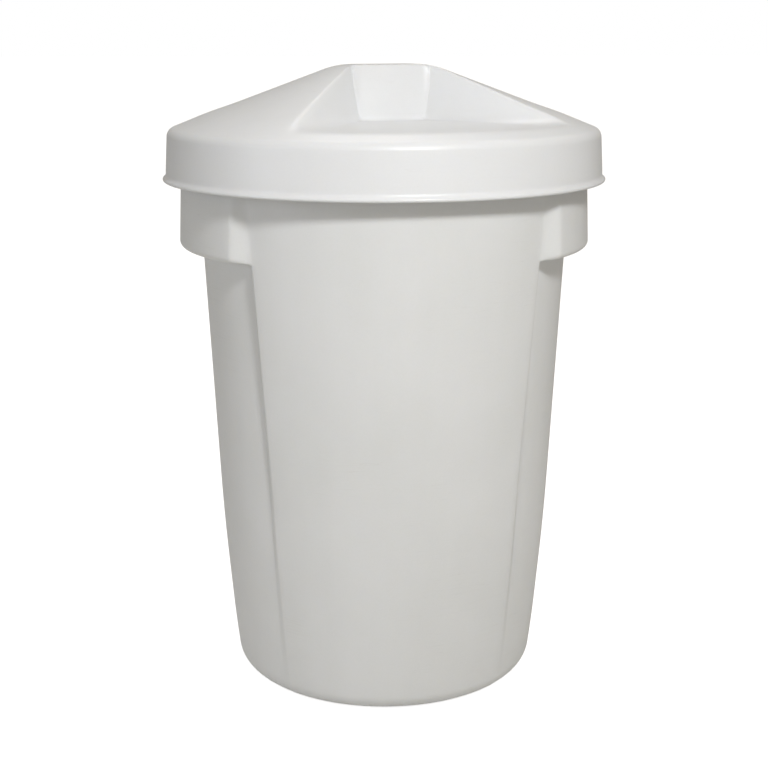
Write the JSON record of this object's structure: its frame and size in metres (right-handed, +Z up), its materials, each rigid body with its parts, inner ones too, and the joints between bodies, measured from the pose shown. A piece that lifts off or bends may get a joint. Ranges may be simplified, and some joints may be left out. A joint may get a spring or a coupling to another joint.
{
  "type": "plastic open head drum",
  "caption": "Round tapered open-head plastic drum with moulded side grips below the rim and a deep lift-off cone lid with finger scoops and a central grip bar.",
  "frame": {"origin": "centre of the foot, on the surface the drum stands on", "axes": "+Z up along the drum's axis; -Y out of the front panel; +X and -X out through the moulded side grips"},
  "size_m": [0.4994, 0.4992, 0.7057],
  "materials": {
    "drum_plastic": "off-white satin polyethylene with a fine moulded texture",
    "lid_plastic": "off-white satin polyethylene, slightly smoother than the drum"
  },
  "bodies": {
    "drum": {"drum": "drum_plastic"},
    "lid": {"lid": "lid_plastic"}
  },
  "joints": [
    {"name": "lid_lift", "type": "slide", "parent": "drum", "child": "lid", "axis": [0, 0, 1], "range_m": [0, 0.25]}
  ]
}
